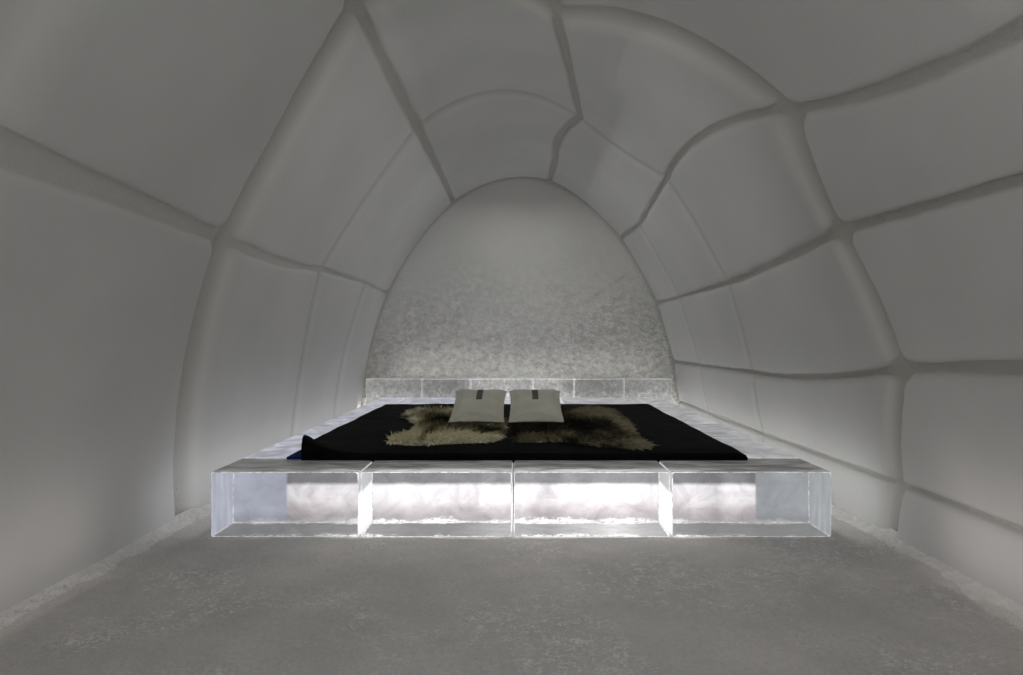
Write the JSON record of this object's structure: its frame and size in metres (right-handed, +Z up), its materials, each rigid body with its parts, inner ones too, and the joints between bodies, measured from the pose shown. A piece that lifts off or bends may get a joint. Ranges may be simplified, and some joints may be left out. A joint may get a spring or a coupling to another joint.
{
  "type": "one-room igloo of snow blocks with an ice bed",
  "caption": "Barrel-vaulted snow igloo, open at an arched doorway, with a lit ice-block bed, blanket, hides and pillows inside",
  "frame": {"origin": "middle of the igloo's footprint, on the ground", "axes": "+X to the right as one enters, +Y from the doorway to the end wall, +Z up"},
  "size_m": [4.16, 6.52, 2.8894],
  "materials": {
    "snow_blocks": "smooth packed snow",
    "rough_snow": "coarse granular snow",
    "trodden_snow": "trodden snow",
    "loose_snow": "loose crumbly snow",
    "clear_ice": "clear ice, melted edges, lit from inside",
    "bed_board": "plain sawn board",
    "lamp": "frosted lamp tube",
    "mat_foam": "closed-cell foam",
    "blanket_cloth": "matt woven cloth",
    "pale_hide": "thick short hair",
    "dark_hide": "thick short hair",
    "pillow_cloth": "soft brushed cloth"
  },
  "bodies": {
    "root": {"left_foot_block_1": "snow_blocks", "left_foot_block_2": "snow_blocks", "left_foot_block_3": "snow_blocks", "left_foot_block_4": "snow_blocks", "left_haunch_block_1": "snow_blocks", "left_haunch_block_2": "snow_blocks", "left_haunch_block_3": "snow_blocks", "left_haunch_block_4": "snow_blocks", "crown_block_1": "snow_blocks", "crown_block_2": "snow_blocks", "crown_block_3": "snow_blocks", "crown_block_4": "snow_blocks", "right_haunch_block_1": "snow_blocks", "right_haunch_block_2": "snow_blocks", "right_haunch_block_3": "snow_blocks", "right_haunch_block_4": "snow_blocks", "right_upper_block_1": "snow_blocks", "right_upper_block_2": "snow_blocks", "right_upper_block_3": "snow_blocks", "right_upper_block_4": "snow_blocks", "right_middle_block_1": "snow_blocks", "right_middle_block_2": "snow_blocks", "right_middle_block_3": "snow_blocks", "right_middle_block_4": "snow_blocks", "right_foot_block_1": "snow_blocks", "right_foot_block_2": "snow_blocks", "right_foot_block_3": "snow_blocks", "right_foot_block_4": "snow_blocks", "end_wall": "rough_snow", "front_wall_left": "rough_snow", "front_wall_right": "rough_snow", "front_wall_top": "rough_snow", "snow_floor": "trodden_snow", "foot_banks": "loose_snow", "ice_front_row": "clear_ice", "ice_side_rows": "clear_ice", "ice_headboard": "clear_ice", "bed_board": "bed_board", "light_strips": "lamp", "foam_mat": "mat_foam", "blanket": "blanket_cloth", "left_hide": "pale_hide", "right_hide": "dark_hide", "left_pillow": "pillow_cloth", "right_pillow": "pillow_cloth"}
  },
  "joints": []
}
